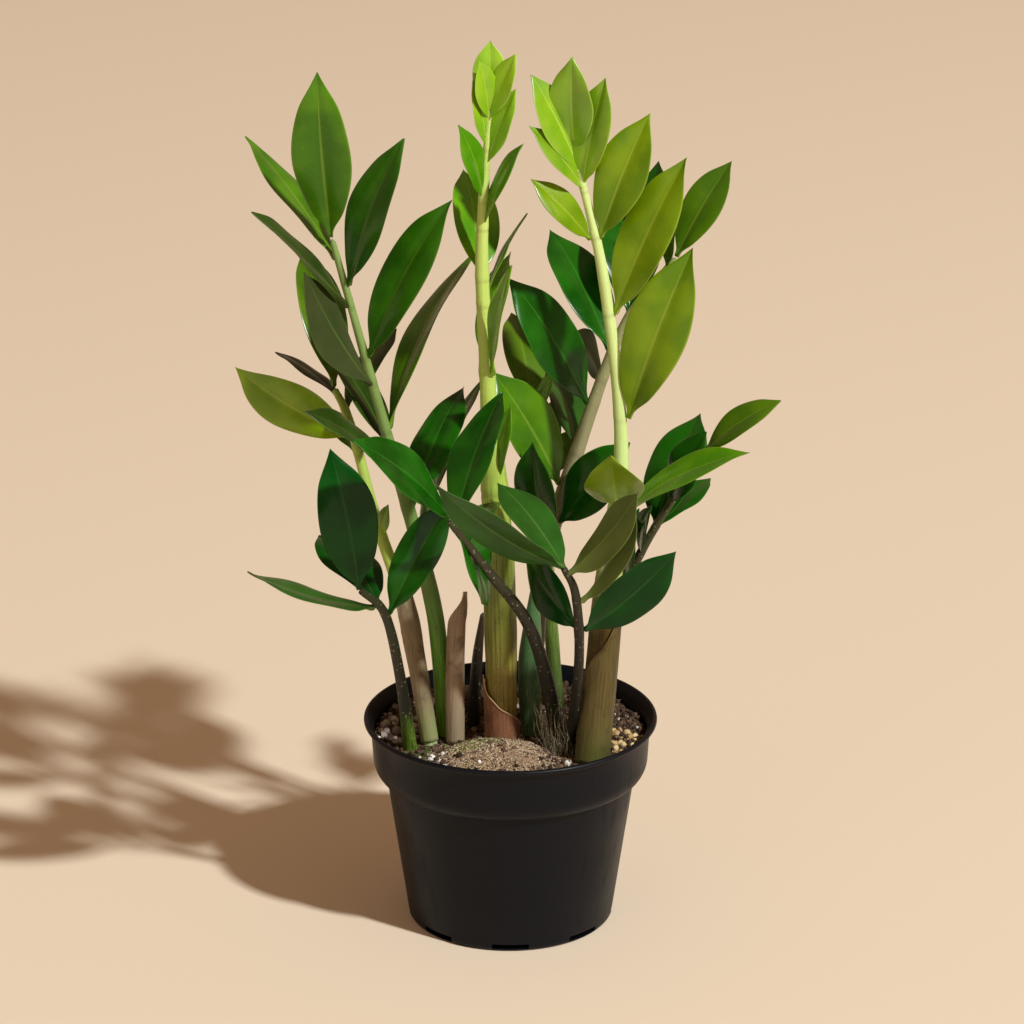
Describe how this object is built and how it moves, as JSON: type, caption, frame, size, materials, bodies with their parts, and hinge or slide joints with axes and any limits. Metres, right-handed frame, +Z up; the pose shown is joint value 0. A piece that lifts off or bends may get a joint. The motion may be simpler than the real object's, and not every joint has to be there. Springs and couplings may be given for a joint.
{
  "type": "potted zz plant",
  "caption": "Nursery pot with a deep collar, filled with soil, growing a ZZ plant: arching fleshy stems with pairs of pointed oval leaflets.",
  "frame": {"origin": "centre of the pot's flat underside", "axes": "+Z up along the pot's axis, the front of the plant towards -Y, +X to the right seen from the front"},
  "size_m": [0.2716, 0.1919, 0.4603],
  "materials": {
    "black_plastic": "satin black injection-moulded plastic",
    "soil": "damp dark potting soil with perlite and grit",
    "root_mound": "dry fine roots and grit",
    "rhizome": "pale tuber skin",
    "mature_leaf": "waxy mid-green leaf",
    "dark_leaf": "waxy dark green leaf",
    "fresh_leaf": "waxy fresh yellow-green leaf",
    "mature_stem": "grey-green fleshy stem",
    "fresh_stem": "pale lime fleshy stem",
    "dark_stem": "dark brown speckled stem",
    "dry_sheath": "dry papery sheath"
  },
  "bodies": {
    "root": {"pot": "black_plastic", "soil": "soil", "root_mound": "root_mound", "rhizome": "rhizome", "stem_a": "mature_stem", "stem_b": "fresh_stem", "stem_c": "dark_stem", "stem_d": "fresh_stem", "stem_e": "fresh_stem", "stem_f": "dark_stem", "stem_g": "dark_stem", "stem_h": "dark_stem", "stem_i": "mature_stem", "stem_j": "fresh_stem", "bud": "mature_stem", "stub": "dark_stem", "sheath_a": "dry_sheath", "sheath_b": "dry_sheath", "sheath_e": "dry_sheath", "leaf_a01": "mature_leaf", "leaf_a02": "mature_leaf", "leaf_a03": "mature_leaf", "leaf_a04": "mature_leaf", "leaf_a05": "mature_leaf", "leaf_a06": "mature_leaf", "leaf_a07": "mature_leaf", "leaf_a08": "mature_leaf", "leaf_a09": "mature_leaf", "leaf_a10": "mature_leaf", "leaf_a11": "mature_leaf", "leaf_b01": "fresh_leaf", "leaf_b03": "fresh_leaf", "leaf_b04": "fresh_leaf", "leaf_c01": "dark_leaf", "leaf_c02": "dark_leaf", "leaf_c03": "dark_leaf", "leaf_c04": "dark_leaf", "leaf_d08": "fresh_leaf", "leaf_d11": "fresh_leaf", "leaf_d12": "fresh_leaf", "leaf_e05": "fresh_leaf", "leaf_e06": "fresh_leaf", "leaf_e07": "fresh_leaf", "leaf_e09": "fresh_leaf", "leaf_e10": "fresh_leaf", "leaf_e11": "fresh_leaf", "leaf_f01": "dark_leaf", "leaf_f04": "dark_leaf", "leaf_g01": "dark_leaf", "leaf_g02": "dark_leaf", "leaf_g03": "dark_leaf", "leaf_g04": "dark_leaf", "leaf_g05": "dark_leaf", "leaf_g06": "dark_leaf", "leaf_h01": "dark_leaf", "leaf_i01": "mature_leaf", "leaf_i02": "mature_leaf", "leaf_i05": "mature_leaf", "leaf_i09": "mature_leaf", "leaf_i10": "mature_leaf"}
  },
  "joints": []
}
